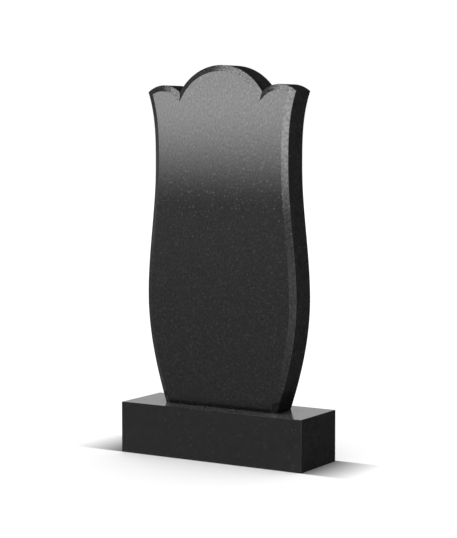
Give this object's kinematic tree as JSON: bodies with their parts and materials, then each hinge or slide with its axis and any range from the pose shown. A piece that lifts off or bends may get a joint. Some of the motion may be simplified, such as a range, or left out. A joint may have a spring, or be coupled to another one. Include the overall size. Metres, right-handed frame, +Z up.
{
  "type": "headstone",
  "caption": "Upright headstone: a flat stele with swelling sides, an arched top between lobes and a chamfered front edge, on a plain block base.",
  "frame": {"origin": "centre of the base's underside, on the ground", "axes": "+Z up, -Y out of the stele's chamfered face, +X to the right of someone who stands in front and looks along +Y"},
  "size_m": [0.6, 0.2, 1.1208],
  "materials": {
    "stele_stone": "polished black gabbro with fine pale specks, chamfer a little duller",
    "base_stone": "polished black gabbro with fine pale specks"
  },
  "bodies": {
    "root": {"stele": "stele_stone", "base": "base_stone"}
  },
  "joints": []
}
